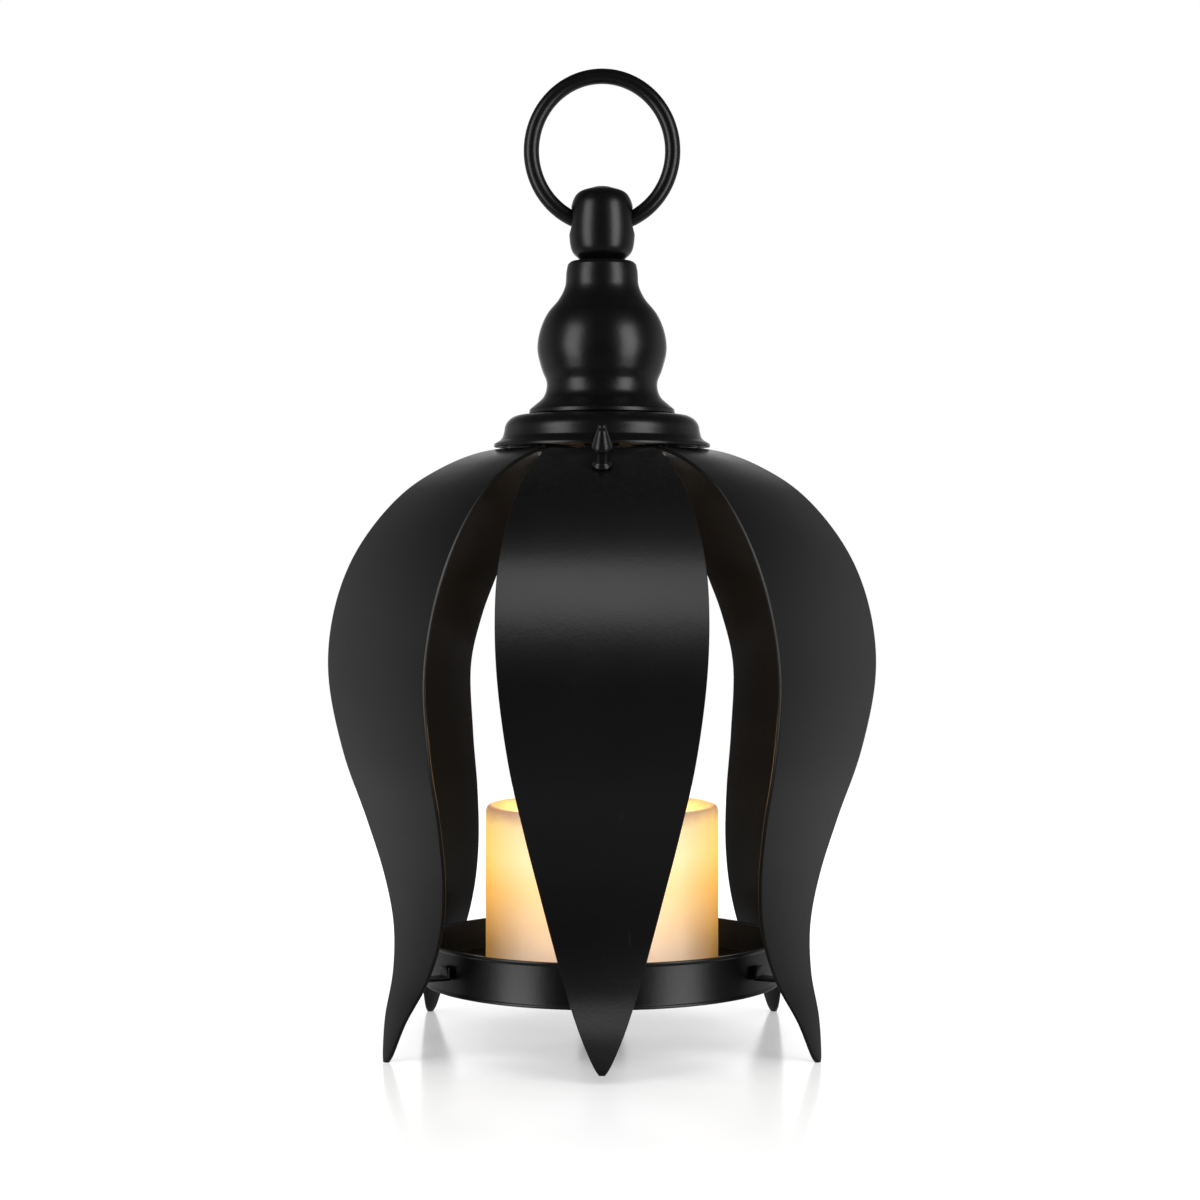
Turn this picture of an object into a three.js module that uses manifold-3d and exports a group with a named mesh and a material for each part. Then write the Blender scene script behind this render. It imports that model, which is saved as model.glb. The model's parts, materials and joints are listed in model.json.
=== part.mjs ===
// A metal candle lantern shaped like a tulip: six bent leaves around a tray, a flameless candle
// on the tray, a turned finial with a hanging ring above, and a front leaf that opens as a door.
// Millimetres, +Z up, the table at z = 0, the lantern's axis at x = y = 0, the door facing -Y.
import * as THREE from 'three';
import { mergeVertices } from 'three/addons/utils/BufferGeometryUtils.js';
import Module from 'manifold-3d';

const wasm = await Module();
wasm.setup();

// driving dimensions
const totalHeight = 250; // over the standing ring
const finialHeight = 98.2; // from the top of the leaves to the top of the ring
const bellyRadius = 66.7;
const leafHalfWidth = 25.1;
const sideAzimuth = 57;
const rearAzimuth = 128;
const sheet = 1;
const gap = 0.3; // between pieces that touch

const trayRadius = 45.6;
const trayBottomHeight = 14.6;
const trayBandHeight = 11.3;
const trayFloorRise = 3.5; // from the band's lower edge to the top of the floor
const trayWall = 0.8;
const trayLip = 0.3;

const waistClearance = 9.2; // from the tray's band out to the leaves
const frontTipFlare = 7.7;
const sideTipFlare = 8.9;
const rearTipFlare = 5.1;
const rearShoulderSag = 4.6; // how far the rear leaves' shoulders sit inside the others'

const candleRadius = 30.1;
const candleHeight = 41.6;
const candleWall = 4.1;

const capLipRadius = 27.9;
const capHeight = 8.3;
const crownThickness = 1.2;
const rodRadius = 2.5;
const rivetRadius = 1.4;
const rivetCircle = 17;
const balusterRadius = 16.7;
const headRadius = 8.45;
const headHeight = 19.1;

const wireRadius = 2.03;
const ringHalfWidth = 20.26;
const ringHalfHeight = 21.27;

const pinRadius = 1;
const knuckleWidth = 3.2;
const earThickness = 1.2;
const doorFootHeight = 2.2; // the foot just clears the floor as the door swings
const pullRadiusOnLeaf = 39.5;
const pullLength = 11.6;
const pullRadius = 2.5;
const studRadius = 1.2;

// sizes that follow
const waistRadius = trayRadius + waistClearance;
const trayFloorTop = trayBottomHeight + trayFloorRise;
const trayRimHeight = trayBottomHeight + trayBandHeight;
const leafTopHeight = totalHeight - finialHeight;
const rodHoleRadius = rodRadius + gap;
const rivetHoleRadius = rivetRadius + gap;

// the cap's band, the crown plate inside it and the collar where the leaves turn level
const capBandRadius = capLipRadius - 2.3;
const crownRadius = capBandRadius - 0.8;
const collarRadius = crownRadius - 0.8;
const tabInnerRadius = rivetCircle - 5;
const doorTopRadius = capLipRadius - 0.7;
const crownBottom = leafTopHeight + gap;
const crownTop = crownBottom + crownThickness;
const capTop = crownBottom + capHeight;

// the ring's wire rises a little between the middle of the head and its sides
const ringAlongX = ringHalfWidth - wireRadius;
const ringAlongZ = ringHalfHeight - wireRadius;
const wireRise = ringAlongZ * (1 - Math.sqrt(1 - (headRadius / ringAlongX) ** 2));
const ringBoreRadius = wireRadius + wireRise / 2 + 0.475;
const ringBoreHeight = totalHeight - 2 * ringHalfHeight + wireRadius + wireRise / 2;
const headBottom = ringBoreHeight - headHeight * 0.534;
const balusterBottom = capTop + gap;
const balusterTop = headBottom - gap;
const rodTop = ringBoreHeight - ringBoreRadius - 1.1 - gap;

// the door's hinge hangs below the tray's band
const knuckleRadius = pinRadius + gap + 0.8;
const hingeHeight = trayBottomHeight - knuckleRadius - 3.5;

const blackPaint = new THREE.MeshStandardMaterial({ color: 0x1b1b1c, roughness: 0.42, metalness: 0.3 });
const plainSteel = new THREE.MeshStandardMaterial({ color: 0x9a9b9d, roughness: 0.35, metalness: 0.9 });
const wax = new THREE.MeshStandardMaterial({ color: 0xf3cfa0, roughness: 0.5, metalness: 0 });
const whitePlastic = new THREE.MeshStandardMaterial({ color: 0xe9e6df, roughness: 0.5, metalness: 0 });
const amberPlastic = new THREE.MeshStandardMaterial({ color: 0xffc36b, roughness: 0.2, metalness: 0 });
const greenBoard = new THREE.MeshStandardMaterial({ color: 0x2d5a3a, roughness: 0.6, metalness: 0 });
const darkPlastic = new THREE.MeshStandardMaterial({ color: 0x222222, roughness: 0.5, metalness: 0 });

const lantern = new THREE.Group();

function add(parent, name, geometry, material) {
  const mesh = new THREE.Mesh(geometry, material);
  mesh.name = name;
  parent.add(mesh);
}

// a group turned to face one leaf: its -Y points outward through the middle of that leaf
function facing(azimuth) {
  const group = new THREE.Group();
  group.rotation.z = THREE.MathUtils.degToRad(azimuth);
  lantern.add(group);
  return group;
}

// keeps only positions, joins equal vertices and turns the faces outward
function closed(geometry) {
  geometry.deleteAttribute('normal');
  geometry.deleteAttribute('uv');
  const merged = mergeVertices(geometry, 1e-4);
  const position = merged.getAttribute('position');
  const a = new THREE.Vector3();
  const b = new THREE.Vector3();
  const c = new THREE.Vector3();
  const corners = [];
  let volume = 0;
  for (let i = 0; i < merged.index.count; i += 3) {
    const [ia, ib, ic] = [0, 1, 2].map((k) => merged.index.getX(i + k));
    if (ia === ib || ib === ic || ic === ia) continue;
    a.fromBufferAttribute(position, ia);
    b.fromBufferAttribute(position, ib);
    c.fromBufferAttribute(position, ic);
    volume += a.dot(b.clone().cross(c));
    corners.push([ia, ib, ic]);
  }
  merged.setIndex(corners.flatMap(([ia, ib, ic]) => (volume < 0 ? [ia, ic, ib] : [ia, ib, ic])));
  merged.computeVertexNormals();
  return merged;
}

function toManifold(geometry) {
  const vertProperties = Float32Array.from(geometry.getAttribute('position').array);
  const triVerts = Uint32Array.from(geometry.index.array);
  return new wasm.Manifold(new wasm.Mesh({ numProp: 3, vertProperties, triVerts }));
}

function fromManifold(solid) {
  const mesh = solid.getMesh();
  const geometry = new THREE.BufferGeometry();
  geometry.setAttribute('position', new THREE.BufferAttribute(mesh.vertProperties, 3));
  geometry.setIndex(new THREE.BufferAttribute(mesh.triVerts, 1));
  geometry.computeVertexNormals();
  return geometry;
}

function cut(geometry, ...tools) {
  let solid = toManifold(geometry);
  for (const tool of tools) solid = solid.subtract(toManifold(tool));
  return fromManifold(solid);
}

function join(first, ...others) {
  let solid = toManifold(first);
  for (const other of others) solid = solid.add(toManifold(other));
  return fromManifold(solid);
}

// a profile of [radius, height] pairs turned around the Z axis
function turned(profile, segments = 36) {
  const points = profile.map(([radius, height]) => new THREE.Vector2(radius, height));
  return closed(new THREE.LatheGeometry(points, segments).rotateX(Math.PI / 2));
}

// the same with its last point joined back to its first, for a body with a hole through it
function turnedHollow(profile, segments = 36) {
  return turned([...profile, profile[0]], segments);
}

// a smooth stretch of a profile through a few of its points
function smooth(pairs, steps) {
  const curve = new THREE.SplineCurve(pairs.map(([radius, height]) => new THREE.Vector2(radius, height)));
  return curve.getPoints(steps).map((point) => [point.x, point.y]);
}

function bar(radius, bottom, top, segments = 24) {
  return turned([[0, bottom], [radius, bottom], [radius, top], [0, top]], segments);
}

function block(width, depth, bottom, top) {
  return closed(new THREE.BoxGeometry(width, depth, top - bottom)).translate(0, 0, (bottom + top) / 2);
}

// takes (outward, height, depth) to (depth, -outward, height)
const outwardFrame = new THREE.Matrix4().set(0, 0, 1, 0, -1, 0, 0, 0, 0, 1, 0, 0, 0, 0, 0, 1);

// a shape drawn with x = distance outward and y = height, made thick across the X axis
function acrossX(shape, width, middle = 0) {
  const geometry = new THREE.ExtrudeGeometry(shape, { depth: width, bevelEnabled: false, curveSegments: 8 });
  geometry.translate(0, 0, middle - width / 2);
  return closed(geometry.applyMatrix4(outwardFrame));
}

function polygon(corners) {
  return new THREE.Shape(corners.map(([outward, height]) => new THREE.Vector2(outward, height)));
}

// half of the room between two neighbouring leaves, at a radius
function leafRoom(radius, spacing) {
  const slope = Math.tan(THREE.MathUtils.degToRad(spacing / 2));
  return radius * slope - gap - (sheet / 2) * slope;
}

// middle surface of a leaf from foot to top, through points of radius, height and half width;
// the foot flares out from the waist, the belly swells above it and the shoulder turns in
function leafCurve({ tipFlare, spacing, footHeight = 0, shoulderSag = 0 }) {
  const bellyShare = 0.6213;
  const waist = waistRadius - sheet / 2;
  const foot = (share) => waist + tipFlare * share;
  const belly = (share) => waist + (bellyRadius - waistRadius) * share;
  const shoulder = (share) => collarRadius + (waist - collarRadius) * share;
  const tab = leafTopHeight - sheet / 2;
  const stations = [
    [foot(1), footHeight, 0.03],
    [foot(0.95), footHeight + tab * 0.009, 0.07],
    [foot(0.7), tab * 0.066, 0.19],
    [foot(0.22), tab * 0.1355, 0.34],
    [belly(0), tab * 0.2115, 0.47],
    [belly(0.08), tab * 0.291, 0.594],
    [belly(0.35), tab * 0.3833, 0.73],
    [belly(0.76), tab * 0.4957, 0.873],
    [belly(1), tab * bellyShare, 0.972],
    [belly(0.88), tab * 0.7138, 1],
    [belly(0.52), tab * 0.7997, 0.98],
    [shoulder(1), tab * 0.8691, 0.905],
    [shoulder(0.733), tab * 0.9293, 0.789],
    [shoulder(0.446), tab * 0.9676, 0.669],
    [shoulder(0.198), tab * 0.9894, 0.57],
    [collarRadius, tab * 0.9987, 0.474],
    [(collarRadius + tabInnerRadius) / 2, tab, 0.359],
    [tabInnerRadius, tab, 0.247],
  ];
  const points = stations.map(([radius, height, share]) => {
    const aboveBelly = Math.max(0, (height / tab - bellyShare) / (1 - bellyShare));
    const inset = radius - shoulderSag * Math.sin(Math.PI * aboveBelly) ** 2;
    const halfWidth = Math.min(leafHalfWidth * share, leafRoom(inset, spacing));
    return new THREE.Vector3(inset, height, halfWidth);
  });
  return new THREE.CatmullRomCurve3(points, false, 'centripetal');
}

const curveSteps = 400;

// how far along a leaf's curve the first point is that passes a test
function shareWhere(curve, test) {
  return curve.getSpacedPoints(curveSteps).findIndex(test) / curveSteps;
}

// middle radius of a leaf at a height below its belly
function leafRadiusAt(curve, height) {
  return curve.getPointAt(shareWhere(curve, (point) => point.y > height)).x;
}

// the inner face of a leaf, less the clearance, at a height near the foot
function innerFace(curve, height) {
  return leafRadiusAt(curve, height) - sheet * 0.55 - gap;
}

// bends a flat strip along a stretch of the curve; the foot's end is cut level
function leafGeometry(curve, to = 1, rows = 40) {
  const strip = new THREE.BoxGeometry(2, sheet, 1, 1, 1, rows);
  const position = strip.getAttribute('position');
  for (let i = 0; i < position.count; i += 1) {
    const row = Math.round((position.getZ(i) + 0.5) * rows);
    const share = to * (row / rows);
    const here = curve.getPointAt(share);
    const tangent = curve.getTangentAt(share);
    const slope = new THREE.Vector2(tangent.x, tangent.y).normalize();
    const outward = here.x + slope.y * position.getY(i);
    const height = row === 0 ? here.y : here.y - slope.x * position.getY(i);
    position.setXYZ(i, position.getX(i) * here.z, -outward, height);
  }
  return closed(strip);
}

const frontLeaf = leafCurve({ tipFlare: frontTipFlare, spacing: sideAzimuth, footHeight: doorFootHeight });
const sideLeaf = leafCurve({ tipFlare: sideTipFlare, spacing: sideAzimuth });
const rearLeaf = leafCurve({
  tipFlare: rearTipFlare,
  spacing: 180 - rearAzimuth,
  shoulderSag: rearShoulderSag,
});

function rivetHole() {
  return bar(rivetHoleRadius, leafTopHeight - 3, leafTopHeight + 3, 16).translate(0, -rivetCircle, 0);
}

function fixedLeaf(azimuth, name, curve) {
  add(facing(azimuth), name, cut(leafGeometry(curve), rivetHole()), blackPaint);
}

function rivet(azimuth, name) {
  const tabBottom = leafTopHeight - sheet - gap;
  const plateTop = crownTop + gap;
  const headSize = rivetRadius * 2;
  const headRise = rivetRadius * 0.7;
  const profile = [
    [0, tabBottom - headRise],
    [headSize * 0.6, tabBottom - headRise * 0.8],
    [headSize, tabBottom],
    [rivetRadius, tabBottom],
    [rivetRadius, plateTop],
    [headSize * 0.85, plateTop],
    [headSize * 0.5, plateTop + headRise * 0.8],
    [0, plateTop + headRise],
  ];
  add(facing(azimuth), name, turned(profile, 16).translate(0, -rivetCircle, 0), plainSteel);
}

// a bent strap between the tray's band and the inner face of a leaf
function trayBracket(azimuth, name, curve) {
  const strapWidth = 4;
  const bandFace = trayRadius + gap;
  const shelf = trayBottomHeight + trayBandHeight * 0.36;
  const top = shelf + trayBandHeight * 0.3;
  const heights = [shelf, (shelf + top) / 2, top];
  const outside = heights.map((height) => [innerFace(curve, height), height]);
  const inside = heights.slice(1).map((height) => [innerFace(curve, height) - sheet, height]);
  const shape = polygon([
    [bandFace, shelf],
    ...outside,
    ...inside.reverse(),
    [innerFace(curve, shelf + sheet) - sheet, shelf + sheet],
    [bandFace + sheet, shelf + sheet],
    [bandFace + sheet, top],
    [bandFace, top],
  ]);
  add(facing(azimuth), name, acrossX(shape, strapWidth), blackPaint);
}

// dish with a folded lip along both edges of its band
function tray() {
  const inner = trayRadius - trayWall;
  const outer = trayRadius + trayLip;
  const fold = trayWall - 0.2;
  const profile = [
    [0, trayFloorTop - trayWall],
    [inner, trayFloorTop - trayWall],
    [inner, trayBottomHeight],
    [outer, trayBottomHeight],
    [outer, trayBottomHeight + fold],
    [trayRadius, trayBottomHeight + fold + trayLip],
    [trayRadius, trayRimHeight - fold - trayLip],
    [outer, trayRimHeight - fold],
    [outer, trayRimHeight],
    [inner, trayRimHeight],
    [inner, trayFloorTop],
    [0, trayFloorTop],
  ];
  add(lantern, 'tray', turned(profile, 44), blackPaint);
}

// disc under the cap that the leaves hang from
function crownPlate(azimuths) {
  const holes = azimuths.map((azimuth) => {
    const angle = THREE.MathUtils.degToRad(azimuth - 90);
    return [rivetCircle * Math.cos(angle), rivetCircle * Math.sin(angle), rivetHoleRadius];
  });
  const shape = new THREE.Shape();
  shape.absarc(0, 0, crownRadius, 0, Math.PI * 2);
  for (const [x, y, radius] of [...holes, [0, 0, rodHoleRadius]]) {
    const hole = new THREE.Path();
    hole.absarc(x, y, radius, 0, Math.PI * 2, true);
    shape.holes.push(hole);
  }
  const geometry = new THREE.ExtrudeGeometry(shape, { depth: crownThickness, bevelEnabled: false, curveSegments: 9 });
  add(lantern, 'crown_plate', closed(geometry.translate(0, 0, crownBottom)), blackPaint);
}

// pressed cap with a rounded shoulder, a band and a thin lip that turns out
function cap() {
  const bend = capHeight * 0.48;
  const topRadius = capBandRadius - bend - sheet;
  const arc = (across, rise) => [0, 1, 2, 3, 4, 5].map((step) => {
    const angle = (Math.PI / 2) * (1 - step / 5);
    return [topRadius + across * Math.cos(angle), capTop - bend + rise * Math.sin(angle)];
  });
  const bandBottom = crownTop + capHeight * 0.17;
  const profile = [
    [rodHoleRadius, capTop],
    ...arc(capBandRadius - topRadius - 0.4, bend),
    [capBandRadius, bandBottom],
    [capBandRadius + 0.7, bandBottom - 0.9],
    [capLipRadius, crownBottom + 0.8],
    [capLipRadius, crownBottom],
    [capLipRadius - sheet, crownBottom],
    [capBandRadius - 0.3, crownTop + gap],
    [capBandRadius - sheet, bandBottom],
    ...arc(capBandRadius - topRadius - 0.4 - sheet, bend - sheet).reverse(),
    [rodHoleRadius, capTop - sheet],
  ];
  add(lantern, 'cap', turnedHollow(profile, 44), blackPaint);
}

// turned post with a spreading foot, a belly and a slim neck
function baluster() {
  const at = (radius, share) => [balusterRadius * radius, balusterBottom + (balusterTop - balusterBottom) * share];
  const outline = [
    at(1.13, 0),
    at(1.12, 0.03),
    ...smooth([
      at(1.06, 0.05),
      at(0.9, 0.115),
      at(0.855, 0.2),
      at(0.93, 0.29),
      at(1, 0.42),
      at(0.965, 0.54),
      at(0.85, 0.655),
      at(0.66, 0.757),
      at(0.57, 0.84),
      at(0.552, 0.93),
      at(0.53, 0.98),
    ], 18),
    at(0.48, 1),
  ];
  const profile = [[rodHoleRadius, balusterBottom], ...outline, [rodHoleRadius, balusterTop]];
  add(lantern, 'baluster', turnedHollow(profile, 36), blackPaint);
}

// egg-shaped head with a cross bore for the ring and a blind socket for the rod
function ringHead() {
  const at = (radius, share) => [headRadius * radius, headBottom + headHeight * share];
  const outline = smooth([
    at(0.66, 0),
    at(0.91, 0.12),
    at(1, 0.34),
    at(0.97, 0.64),
    at(0.875, 0.82),
    at(0.71, 0.92),
    at(0.24, 0.995),
  ], 14);
  const profile = [[0, headBottom], ...outline, at(0, 1)];
  const rodSocket = bar(rodHoleRadius, headBottom - 1, rodTop + gap);
  const boreHalf = headRadius + 4;
  const bore = bar(ringBoreRadius, -boreHalf, boreHalf).rotateY(Math.PI / 2).translate(0, 0, ringBoreHeight);
  add(lantern, 'ring_head', cut(turned(profile, 32), rodSocket, bore), blackPaint);
}

// round wire bent to a slightly tall ring, standing in the XZ plane
function hangingRing() {
  const geometry = new THREE.TorusGeometry(ringAlongX, wireRadius, 10, 44).rotateX(Math.PI / 2);
  const position = geometry.getAttribute('position');
  for (let i = 0; i < position.count; i += 1) {
    const angle = Math.atan2(position.getZ(i), position.getX(i));
    position.setZ(i, position.getZ(i) + (ringAlongZ - ringAlongX) * Math.sin(angle));
  }
  add(lantern, 'hanging_ring', closed(geometry.translate(0, 0, totalHeight - ringHalfHeight)), blackPaint);
}

// tie rod from the nut under the crown up into the head
function rodAndNut() {
  const washerThickness = 1;
  const washerRadius = rodRadius + 3.1;
  const nutRadius = rodRadius + 2.1;
  const nutHeight = 4;
  const rodStub = 1;
  const washerTop = crownBottom - gap;
  const washerBottom = washerTop - washerThickness;
  const nutBottom = washerBottom - gap - nutHeight;
  const washer = [
    [rodHoleRadius, washerBottom],
    [washerRadius, washerBottom],
    [washerRadius, washerTop],
    [rodHoleRadius, washerTop],
  ];
  const hexagon = polygon([0, 1, 2, 3, 4, 5].map((side) => {
    const angle = (side * Math.PI) / 3;
    return [nutRadius * Math.cos(angle), nutRadius * Math.sin(angle)];
  }));
  const bore = new THREE.Path();
  bore.absarc(0, 0, rodHoleRadius, 0, Math.PI * 2, true);
  hexagon.holes.push(bore);
  const nut = new THREE.ExtrudeGeometry(hexagon, { depth: nutHeight, bevelEnabled: false, curveSegments: 12 });
  add(lantern, 'threaded_rod', bar(rodRadius, nutBottom - rodStub, rodTop), plainSteel);
  add(lantern, 'washer', turnedHollow(washer, 24), plainSteel);
  add(lantern, 'nut', closed(nut.translate(0, 0, nutBottom)), plainSteel);
}

// the spring clip under the crown plate that the top of the door closes against
function doorCatch() {
  const clipWidth = 9;
  const top = crownBottom - gap;
  const inner = tabInnerRadius - 1;
  const nose = doorTopRadius - 1;
  const shape = polygon([
    [inner, top],
    [nose, top],
    [nose, top - 3.6],
    [nose - 1.6, top - 5],
    [nose - 2.2, top - 4.4],
    [nose - sheet, top - 3.2],
    [nose - sheet, top - sheet],
    [inner, top - sheet],
  ]);
  add(facing(0), 'door_catch', cut(acrossX(shape, clipWidth), rivetHole()), blackPaint);
}

const hingeRadius = innerFace(frontLeaf, hingeHeight) - knuckleRadius - gap;
const earMiddle = (knuckleWidth + earThickness) / 2 + gap;
const bracketHalf = earMiddle + earThickness / 2;

function pinBore() {
  const bore = bar(pinRadius + gap, -2 * bracketHalf, 2 * bracketHalf, 16).rotateY(Math.PI / 2);
  return bore.translate(0, -hingeRadius, hingeHeight);
}

// plate on the tray's band with two ears that hold the hinge pin
function hingeBracket() {
  const plateMargin = 1.4;
  const bandFace = trayRadius + gap;
  const bottom = trayBottomHeight + plateMargin;
  const top = trayRimHeight - plateMargin;
  const plate = polygon([[bandFace, bottom], [bandFace + sheet, bottom], [bandFace + sheet, top], [bandFace, top]]);
  const ear = new THREE.Shape();
  ear.moveTo(bandFace, bottom);
  ear.absarc(hingeRadius, hingeHeight, knuckleRadius, -Math.PI * 0.64, Math.PI * 0.36, false);
  ear.lineTo(bandFace, bottom + trayBandHeight * 0.48);
  const ears = [-earMiddle, earMiddle].map((middle) => acrossX(ear, earThickness, middle));
  const solid = join(acrossX(plate, 2 * bracketHalf), ...ears);
  add(facing(0), 'hinge_bracket', cut(solid, pinBore()), blackPaint);
}

function hingePin() {
  const headSize = pinRadius * 1.7;
  const shank = bracketHalf + gap;
  const end = shank + pinRadius * 0.6;
  const profile = [
    [0, -end],
    [headSize, -end],
    [headSize, -shank],
    [pinRadius, -shank],
    [pinRadius, shank],
    [headSize, shank],
    [headSize, end],
    [0, end],
  ];
  const pin = turned(profile, 16).rotateY(Math.PI / 2);
  add(facing(0), 'hinge_pin', pin.translate(0, -hingeRadius, hingeHeight), plainSteel);
}

// lug on the inside of the door that turns on the hinge pin
function doorKnuckle() {
  const half = knuckleRadius + 0.9;
  const shape = new THREE.Shape();
  shape.moveTo(innerFace(frontLeaf, hingeHeight - half), hingeHeight - half);
  shape.lineTo(innerFace(frontLeaf, hingeHeight + half), hingeHeight + half);
  shape.lineTo(hingeRadius, hingeHeight + knuckleRadius);
  shape.absarc(hingeRadius, hingeHeight, knuckleRadius, Math.PI / 2, Math.PI * 1.5, false);
  add(facing(0), 'door_knuckle', cut(acrossX(shape, knuckleWidth), pinBore()), blackPaint);
}

// stands a piece on the door's shoulder, square to the sheet
function standOnDoor(geometry) {
  const pastPull = (point) => point.y > leafTopHeight / 2 && point.x < pullRadiusOnLeaf;
  const share = shareWhere(frontLeaf, pastPull);
  const place = frontLeaf.getPointAt(share);
  const tangent = frontLeaf.getTangentAt(share);
  return geometry.rotateX(Math.atan2(tangent.y, -tangent.x)).translate(0, -place.x, place.y);
}

// the front leaf, a little short at both ends so that it can swing
function frontDoor() {
  const to = shareWhere(frontLeaf, (point) => point.y > leafTopHeight / 2 && point.x < doorTopRadius);
  const studHole = standOnDoor(bar(studRadius + gap, -2 * sheet, 2 * sheet, 16));
  add(facing(0), 'leaf_front', cut(leafGeometry(frontLeaf, to), studHole), blackPaint);
}

// turned pull with its stud through the door and a head on the inside
function pullKnob() {
  const inside = -sheet / 2 - gap;
  const outside = sheet / 2 + gap;
  const washerRadius = studRadius + 1;
  const at = (radius, share) => [pullRadius * radius, outside + pullLength * share];
  const profile = [
    [0, inside - 0.9],
    [washerRadius, inside - 0.9],
    [washerRadius, inside],
    [studRadius, inside],
    [studRadius, outside],
    at(1, 0),
    at(1, 0.06),
    at(0.74, 0.11),
    at(0.74, 0.38),
    at(1.02, 0.415),
    at(1, 0.49),
    at(0.5, 0.83),
    at(0.42, 0.86),
    at(0.42, 0.95),
    at(0.24, 0.99),
    at(0, 1),
  ];
  add(facing(0), 'pull_knob', standOnDoor(turned(profile, 20)), blackPaint);
}

// the candle's heights are measured from its foot on the tray's floor
const candle = new THREE.Group();
candle.position.z = trayFloorTop + gap;
lantern.add(candle);

const insertBottom = 0.5;
const coinRadius = 10;
const coinHeight = 3.2;
const coverRadius = coinRadius + 2.7;
const coverThickness = 1.5;
const coverRecess = coverThickness + gap;
const contactThickness = 0.3;
const pocketDepth = coverRecess + 2 * coinHeight + contactThickness + 4 * gap;
const housingHeight = pocketDepth + 3.3;
const switchSlot = 4;
const switchRadius = coverRadius + gap + 1.7 + switchSlot / 2;
const housingRadius = switchRadius + switchSlot / 2 + 1.3;
const cavityRadius = candleRadius - candleWall;
const boardRadius = housingRadius - 3;
const boardThickness = 1.2;
const boardBottom = insertBottom + housingHeight + gap;
const lightBottom = boardBottom + boardThickness + gap;
const lightHeight = 7.5;
const lightTop = lightBottom + lightHeight;

// hollow shell: a deep hollow for the light's glow above, room for the insert below
function waxShell() {
  const roomAbove = candleHeight - lightTop;
  const hollowDepth = roomAbove * 0.69;
  const cavityTop = lightTop + roomAbove * 0.15;
  const rim = (inward, share) => [candleRadius - inward, candleHeight - hollowDepth * share];
  const footBevel = 0.9;
  const profile = [
    [0, cavityTop],
    [cavityRadius, cavityTop],
    [cavityRadius, 0],
    [candleRadius - footBevel, 0],
    [candleRadius, footBevel],
    rim(0, 0.108),
    rim(0.5, 0.03),
    rim(1.5, 0),
    rim(2.9, 0.04),
    rim(4.6, 0.19),
    rim(6.6, 0.65),
    rim(10.1, 0.86),
    rim(18, 0.97),
    [0, candleHeight - hollowDepth],
  ];
  add(candle, 'wax_shell', turned(profile, 36), wax);
}

function batteryHousing() {
  const pocketTop = insertBottom + pocketDepth;
  const recessTop = insertBottom + coverRecess;
  const flangeTop = insertBottom + 2;
  const top = insertBottom + housingHeight;
  const flangeRadius = cavityRadius - gap;
  const profile = [
    [0, pocketTop],
    [coinRadius + 0.4, pocketTop],
    [coinRadius + 0.4, recessTop],
    [coverRadius + gap, recessTop],
    [coverRadius + gap, insertBottom],
    [flangeRadius, insertBottom],
    [flangeRadius, flangeTop],
    [housingRadius, flangeTop],
    [housingRadius, top],
    [0, top],
  ];
  const switchPocket = block(switchSlot, 9, insertBottom - 1, insertBottom + 6).translate(switchRadius, 0, 0);
  add(candle, 'battery_housing', cut(turned(profile, 28), switchPocket), whitePlastic);
}

function candleElectrics() {
  const firstCoin = insertBottom + coverRecess + gap;
  const secondCoin = firstCoin + coinHeight + gap;
  const contact = secondCoin + coinHeight + gap;
  const domeRadius = 2.5;
  const light = [
    [0, lightBottom],
    [domeRadius + 0.4, lightBottom],
    [domeRadius + 0.4, lightBottom + 1],
    [domeRadius, lightBottom + 1],
    ...smooth([[domeRadius, lightTop - 2.5], [domeRadius * 0.88, lightTop - 1.3], [1.3, lightTop - 0.4]], 5),
    [0, lightTop],
  ];
  add(candle, 'battery_lower', bar(coinRadius, firstCoin, firstCoin + coinHeight), plainSteel);
  add(candle, 'battery_upper', bar(coinRadius, secondCoin, secondCoin + coinHeight), plainSteel);
  add(candle, 'battery_contact', bar(coinRadius - 3, contact, contact + contactThickness, 20), plainSteel);
  add(candle, 'circuit_board', bar(boardRadius, boardBottom, boardBottom + boardThickness, 28), greenBoard);
  add(candle, 'led_bulb', turned(light, 20), amberPlastic);
}

// round cover that turns a few degrees to unlock, with a coin slot
function batteryCover() {
  const disc = bar(coverRadius, insertBottom, insertBottom + coverThickness, 32);
  const coinSlot = block(coverRadius * 0.94, 1.8, insertBottom - 1, insertBottom + coverThickness / 2);
  add(candle, 'battery_cover', cut(disc, coinSlot), whitePlastic);
}

function candleSwitch() {
  const width = switchSlot - 2 * gap;
  const slider = block(width, 4.4, insertBottom + gap, insertBottom + 3.2).translate(switchRadius, -2, 0);
  const body = block(width, 8.4, insertBottom + 3.5, insertBottom + 5.7).translate(switchRadius, 0, 0);
  add(candle, 'switch_slider', slider, darkPlastic);
  add(candle, 'switch_body', body, darkPlastic);
}

const fixedSides = [
  ['right_front', sideAzimuth, sideLeaf],
  ['right_back', rearAzimuth, rearLeaf],
  ['back', 180, rearLeaf],
  ['left_back', -rearAzimuth, rearLeaf],
  ['left_front', -sideAzimuth, sideLeaf],
];

hangingRing();
ringHead();
baluster();
cap();
crownPlate([0, ...fixedSides.map(([, azimuth]) => azimuth)]);
rodAndNut();
for (const [side, azimuth, curve] of fixedSides) {
  fixedLeaf(azimuth, `leaf_${side}`, curve);
  rivet(azimuth, `rivet_${side}`);
  trayBracket(azimuth, `bracket_${side}`, curve);
}
tray();
doorCatch();
rivet(0, 'rivet_catch');
hingeBracket();
hingePin();
frontDoor();
doorKnuckle();
pullKnob();
waxShell();
batteryHousing();
candleElectrics();
batteryCover();
candleSwitch();

export default lantern;
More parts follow.
